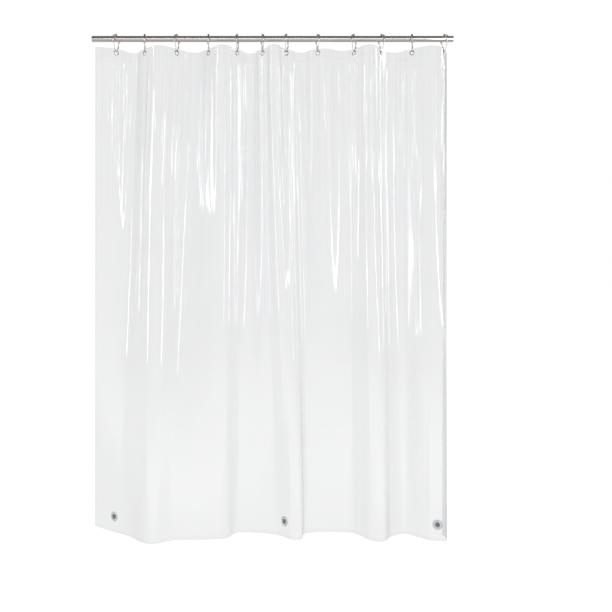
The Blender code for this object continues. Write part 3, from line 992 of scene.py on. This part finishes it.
def roller_barrel():
    """One roller about Z: a ring squeezed to its length, its ends dressed flat."""
    deselect()
    bpy.ops.mesh.primitive_torus_add(
        major_segments=32,
        minor_segments=16,
        major_radius=(ROLLER_RADIUS + ROLLER_BORE) / 2,
        minor_radius=(ROLLER_RADIUS - ROLLER_BORE) / 2,
    )
    roller = bpy.context.object
    half = ROLLER_LENGTH / 2
    grow = half * 1.12 / ((ROLLER_RADIUS - ROLLER_BORE) / 2)
    for vertex in roller.data.vertices:
        vertex.co.z = max(-half, min(half, vertex.co.z * grow))
    smooth(roller, 45)
    return roller


class LINER_OT_rollers(bpy.types.Operator):
    """Builds five rollers on the top arc of each ring"""

    bl_idname = "liner.rollers"
    bl_label = "Rollers"

    def execute(self, context):
        colour = context.scene.liner_metal.roller_colour
        look = metal("roller_plating", colour, 0.06, 0.16, smudge=400.0, bump=0.00001)
        arc_radius, arc_height, _, _ = ring_shape()
        for number, centre, turn in zip(RING_NAMES, RING_CENTRES, RING_TURNS):
            to_ring = Matrix.Translation((centre.x, 0, 0)) @ Matrix.Rotation(turn, 4, "Z")

            def on_wire(degrees):
                spot = arc_points(arc_radius, arc_height, degrees, degrees, 1)[0]
                return (
                    to_ring
                    @ Matrix.Translation(spot)
                    @ Matrix.Rotation(math.radians(degrees), 4, "X")
                    @ Matrix.Rotation(math.pi / 2, 4, "X")
                )

            top = copies(roller_barrel(), [f"top_roller_{number}"], [on_wire(0)])[0]
            stand_for(top, look, "roller_steel", f"roller_{number}", f"roller_{number}")
            sides = copies(
                roller_barrel(),
                [f"side_rollers_{number}"] + [f"spare_{degrees}" for degrees in SIDE_ROLLERS[1:]],
                [on_wire(degrees) for degrees in SIDE_ROLLERS],
            )
            deselect()
            for piece in sides:
                piece.select_set(True)
            context.view_layer.objects.active = sides[0]
            bpy.ops.object.join()
            stand_for(sides[0], look, "roller_steel", ring_body(number))
        return {"FINISHED"}


def film_frames():
    """Place and direction of the film at each grommet, X along the film and Z out of its front."""
    along, x, y = top_plan()
    frames = []
    for centre in GROMMET_ALONG:
        ends = [
            Vector((float(np.interp(spot, along, x)), float(np.interp(spot, along, y)), 0))
            for spot in (centre - GROMMET_FLAT, centre + GROMMET_FLAT)
        ]
        across = (ends[1] - ends[0]).normalized()
        up = Vector((0, 0, 1))
        made = Matrix((across, up, across.cross(up))).transposed().to_4x4()
        made.translation = (*((ends[0] + ends[1]) / 2).xy, GROMMET_HEIGHT)
        frames.append(made)
    return frames


class LINER_OT_grommets(bpy.types.Operator):
    """Builds the twelve rolled metal grommets"""

    bl_idname = "liner.grommets"
    bl_label = "Grommets"

    def execute(self, context):
        slot = FILM_THICK / 2 + 0.0002
        # Round the section: the slot that holds the film, then the rolled rim and the throat.
        outline = (
            (0.0097, slot + 0.0004),
            (0.0097, slot),
            (0.0065, slot),
            (0.0065, -slot),
            (0.0097, -slot),
            (0.0097, -slot - 0.0004),
            (0.0078, -slot - 0.0010),
            (0.0060, -slot - 0.0009),
            (0.0058, 0.0),
            (0.0060, slot + 0.0009),
            (0.0078, slot + 0.0010),
        )
        grommet = spun("grommet", rounded_profile(outline, 0.0004), 48, closed=True)
        smooth(grommet, 50)
        colour = context.scene.liner_metal.grommet_colour
        look = metal("grommet_plating", colour, 0.12, 0.28, smudge=300.0)
        names = [f"rolled_grommet_{number}" for number in RING_NAMES]
        for piece, number in zip(copies(grommet, names, film_frames()), RING_NAMES):
            stand_for(piece, look, "grommet_plate", ring_body(number), f"grommet_{number}")
        return {"FINISHED"}


def magnet_frame(side):
    """Place of a magnet: its disc's middle, Z out of the film's front, from the frame's node."""
    node = frame["nodes"][f"magnet_{side}"]
    points = np.array([vertex.co for vertex in node.data.vertices], float)
    centre = (points.min(axis=0) + points.max(axis=0)) / 2
    spread = np.linalg.svd(points - points.mean(axis=0))[2]
    out = Vector(spread[2])
    if out.y > 0:
        out = -out
    up = Vector((0, 0, 1))
    across = up.cross(out).normalized()
    made = Matrix((across, out.cross(across), out)).transposed().to_4x4()
    made.translation = centre
    return made


class LINER_OT_magnets(bpy.types.Operator):
    """Builds the three hem magnets and the clear patches welded over them"""

    bl_idname = "liner.magnets"
    bl_label = "Magnets and patches"

    def execute(self, context):
        deselect()
        bpy.ops.mesh.primitive_cylinder_add(vertices=64, radius=MAGNET_RADIUS, depth=MAGNET_THICK)
        disc = context.object
        ease = disc.modifiers.new("eased_rim", "BEVEL")
        ease.width = 0.0004
        ease.segments = 3
        ease.limit_method = "ANGLE"
        apply_modifiers(disc)
        smooth(disc, 40)
        coat = magnet_coat()
        places = [magnet_frame(side) for side in MAGNET_SIDES]
        names = [f"magnet_disc_{side}" for side in MAGNET_SIDES]
        for piece, side in zip(copies(disc, names, places), MAGNET_SIDES):
            stand_for(piece, coat, "magnet_coat", f"hem_magnet_{side}", f"magnet_{side}")

        # From the middle outwards: over the disc, down its side, then the welded ribs of the rim.
        half = MAGNET_THICK / 2
        low = -half
        outline = [(0.0, half + 0.0004), (0.006, half + 0.0004), (0.0095, half + 0.00035)]
        outline += [(0.0108, half - 0.0004), (0.0120, low + 0.0005), (0.0130, low + 0.0002)]
        outline += [(0.0140, low + 0.0001), (0.0150, low + 0.0003), (0.0160, low + 0.0001)]
        outline += [(0.0172, low + 0.0003), (0.0183, low + 0.0001), (0.0190, low + 0.0001)]
        patch = spun("patch", outline, 64, closed=False)
        wall = patch.modifiers.new("film", "SOLIDIFY")
        wall.thickness = FILM_THICK
        wall.offset = 0
        apply_modifiers(patch)
        layer = patch.data.uv_layers[0] if patch.data.uv_layers else patch.data.uv_layers.new()
        layer.name = "film"
        for loop in patch.data.loops:
            co = patch.data.vertices[loop.vertex_index].co
            layer.data[loop.index].uv = (co.x, co.y)
        weld = patch.data.attributes.new("weld", "FLOAT", "POINT")
        for vertex in patch.data.vertices:
            radius = vertex.co.xy.length
            weld.data[vertex.index].value = 0.22 if 0.0135 < radius < 0.0185 else 0.02
        smooth(patch, 60)
        film = context.scene.liner_film
        look = clear_film("patch_film", film.tint, film.haze, "weld", 0.0001)
        names = [f"welded_patch_{side}" for side in MAGNET_SIDES]
        for piece, side in zip(copies(patch, names, places), MAGNET_SIDES):
            stand_for(piece, look, "clear_patch", f"hem_magnet_{side}", f"magnet_pocket_{side}")
        return {"FINISHED"}


def magnet_coat():
    made, tree, shader = new_look("magnet_coat")
    place = tree.nodes.new("ShaderNodeTexCoord").outputs["Object"]
    speck = noise(tree, place, 700.0, 4.0)
    shade = graded(tree, speck, ((0.0, (0.035, 0.035, 0.038)), (1.0, (0.10, 0.10, 0.105))))
    tree.links.new(shade, shader.inputs["Base Color"])
    tree.links.new(ranged(tree, speck, 0.0, 1.0, 0.35, 0.6), shader.inputs["Roughness"])
    return made


# Stage

def studio_world():
    """White to the eye; what the pieces mirror is a soft room, dim at the sides and above."""
    world = bpy.data.worlds.new("studio")
    bpy.context.scene.world = world
    world.use_nodes = True
    tree = world.node_tree
    nodes, links = tree.nodes, tree.links
    nodes.clear()
    output = nodes.new("ShaderNodeOutputWorld")
    seen = nodes.new("ShaderNodeBackground")
    seen.inputs["Color"].default_value = (1, 1, 1, 1)
    seen.inputs["Strength"].default_value = 1.01
    room = nodes.new("ShaderNodeBackground")
    room.inputs["Strength"].default_value = 1.0
    facing = separated(tree, nodes.new("ShaderNodeTexCoord").outputs["Generated"])

    def around(axis, stops):
        """Colours over one axis of a ray's direction, from -1 to 1."""
        shares = [((place + 1) / 2, colour) for place, colour in stops]
        return graded(tree, ranged(tree, facing[axis], -1.0, 1.0), shares)

    depth = around(
        "Y",
        (
            (-1.0, (0.66, 0.66, 0.66)),
            (-0.75, (0.56, 0.56, 0.56)),
            (-0.25, (0.42, 0.42, 0.42)),
            (0.25, (0.60, 0.60, 0.60)),
            (0.8, (1.0, 1.0, 1.0)),
        ),
    )
    height = around(
        "Z",
        (
            (-0.45, (1.35, 1.35, 1.35)),
            (-0.10, (1.0, 1.0, 1.0)),
            (0.25, (0.62, 0.62, 0.62)),
            (0.70, (0.30, 0.29, 0.29)),
        ),
    )
    both = nodes.new("ShaderNodeMix")
    both.data_type = "RGBA"
    both.blend_type = "MULTIPLY"
    both.inputs["Factor"].default_value = 1.0
    links.new(depth, both.inputs["A"])
    links.new(height, both.inputs["B"])
    links.new(both.outputs["Result"], room.inputs["Color"])
    path = nodes.new("ShaderNodeLightPath")
    choose = nodes.new("ShaderNodeMixShader")
    links.new(path.outputs["Is Camera Ray"], choose.inputs["Fac"])
    links.new(room.outputs["Background"], choose.inputs[1])
    links.new(seen.outputs["Background"], choose.inputs[2])
    links.new(choose.outputs["Shader"], output.inputs["Surface"])


def softbox(name, place, aim, width, height, radiance):
    data = bpy.data.lights.new(name, "AREA")
    data.shape = "RECTANGLE"
    data.size = width
    data.size_y = height
    data.energy = radiance * math.pi * width * height
    lamp = bpy.data.objects.new(name, data)
    bpy.context.scene.collection.objects.link(lamp)
    lamp.location = place
    lamp.rotation_euler = (Vector(aim) - Vector(place)).to_track_quat("-Z", "Y").to_euler()
    lamp.visible_camera = False
    return lamp


def pale_floor():
    made, tree, shader = new_look("pale_floor")
    nodes, links = tree.nodes, tree.links
    shader.inputs["Roughness"].default_value = 0.9
    shader.inputs["Specular IOR Level"].default_value = 0.0
    shader.inputs["Emission Color"].default_value = (1, 1, 1, 1)
    place = nodes.new("ShaderNodeTexCoord").outputs["Object"]
    greys = ((0.0, (0.030, 0.030, 0.030)), (1.0, (0.034, 0.034, 0.034)))
    links.new(graded(tree, noise(tree, place, 1.5), greys), shader.inputs["Base Color"])

    # Bright to the eye; in what the pieces mirror it is dimmer under the rod than before it.
    depth = ranged(tree, separated(tree, place)["Y"], -2.0, 2.0)
    stops = ((0.0, 0.95), (0.15, 0.95), (0.42, 0.45), (0.55, 0.45), (0.80, 0.75))
    mirrored = graded(tree, depth, [(share, (level, level, level)) for share, level in stops])
    path = nodes.new("ShaderNodeLightPath")
    strength = nodes.new("ShaderNodeMix")
    strength.inputs["A"].default_value = 1.02
    links.new(path.outputs["Is Glossy Ray"], strength.inputs["Factor"])
    links.new(mirrored, strength.inputs["B"])
    links.new(strength.outputs["Result"], shader.inputs["Emission Strength"])

    # The floor fades out far away, so that no edge or horizon shows.
    away = nodes.new("ShaderNodeVectorMath")
    away.operation = "LENGTH"
    links.new(place, away.inputs[0])
    near = ranged(tree, away.outputs["Value"], 1.0, 16.0, 1.0, 0.0, "SMOOTHSTEP")
    clear = nodes.new("ShaderNodeBsdfTransparent")
    blend = nodes.new("ShaderNodeMixShader")
    links.new(near, blend.inputs["Fac"])
    links.new(clear.outputs["BSDF"], blend.inputs[1])
    links.new(shader.outputs["BSDF"], blend.inputs[2])
    links.new(blend.outputs["Shader"], nodes["Material Output"].inputs["Surface"])
    return made


class LINER_OT_stage(bpy.types.Operator):
    """Sets the pale floor, the soft boxes and the camera"""

    bl_idname = "liner.stage"
    bl_label = "Floor, lights and camera"

    def execute(self, context):
        stage = context.scene.liner_stage
        studio_world()
        context.scene.view_settings.view_transform = "Standard"
        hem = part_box("curtain_sheet")[0].z
        deselect()
        bpy.ops.mesh.primitive_plane_add(size=60, location=(0, 0, hem - stage.floor))
        floor = context.object
        floor.name = "floor"
        floor.data.materials.append(pale_floor())

        centre = (stage.side, 0, -stage.down)
        softbox("strip_left", (-2.6, -0.6, -0.24), centre, 0.20, 2.05, 8.0)
        softbox("strip_right", (2.7, 1.0, -0.24), centre, 0.22, 2.05, 8.0)
        softbox("strip_front", (2.0, -2.2, -0.33), centre, 0.20, 1.8, 7.0)
        band = softbox("rod_band", (0.1, -3.4, 0.42), (0.1, 0, 0), 6.4, 0.60, 3.2)
        metals = bpy.data.collections.new("metals")
        for piece in context.scene.objects:
            if piece.name.startswith(("rod_", "ring_", "top_roller", "side_roller", "rolled_")):
                metals.objects.link(piece)
        band.light_linking.receiver_collection = metals
        top = softbox("room_top", (0, 0.5, 3.2), (0, 0.4, -1.0), 5.0, 4.0, 1.3)
        top.visible_glossy = False

        data = bpy.data.cameras.new("camera")
        data.sensor_width = 36
        data.lens = 36 * stage.distance / stage.scale
        camera = bpy.data.objects.new("camera", data)
        context.scene.collection.objects.link(camera)
        camera.location = (stage.side, -stage.distance, -stage.down)
        camera.rotation_euler = (math.pi / 2, 0, 0)
        context.scene.camera = camera
        return {"FINISHED"}


class LINER_PT_panel(bpy.types.Panel):
    """Shows the liner's settings and the buttons that build its pieces"""

    bl_idname = "LINER_PT_panel"
    bl_label = "Clear shower liner"
    bl_space_type = "VIEW_3D"
    bl_region_type = "UI"
    bl_category = "Liner"

    def draw(self, context):
        layout = self.layout
        for settings in (
            context.scene.liner_film,
            context.scene.liner_metal,
            context.scene.liner_stage,
        ):
            for name in settings.__annotations__:
                layout.prop(settings, name)
        for operator in OPERATORS:
            layout.operator(operator.bl_idname)


SETTINGS = (
    ("liner_film", LinerFilmSettings),
    ("liner_metal", LinerMetalSettings),
    ("liner_stage", LinerStageSettings),
)
OPERATORS = (
    LINER_OT_rod,
    LINER_OT_rings,
    LINER_OT_rollers,
    LINER_OT_grommets,
    LINER_OT_magnets,
    LINER_OT_film,
    LINER_OT_stage,
)


def register():
    for name, settings in SETTINGS:
        bpy.utils.register_class(settings)
        setattr(bpy.types.Scene, name, bpy.props.PointerProperty(type=settings))
    for operator in OPERATORS:
        bpy.utils.register_class(operator)
    bpy.utils.register_class(LINER_PT_panel)


def unregister():
    bpy.utils.unregister_class(LINER_PT_panel)
    for operator in reversed(OPERATORS):
        bpy.utils.unregister_class(operator)
    for name, settings in reversed(SETTINGS):
        delattr(bpy.types.Scene, name)
        bpy.utils.unregister_class(settings)


def main():
    register()
    bpy.ops.liner.rod()
    bpy.ops.liner.rings()
    bpy.ops.liner.rollers()
    bpy.ops.liner.grommets()
    bpy.ops.liner.magnets()
    bpy.ops.liner.film()
    bpy.ops.liner.stage()


if __name__ == "__main__":
    main()
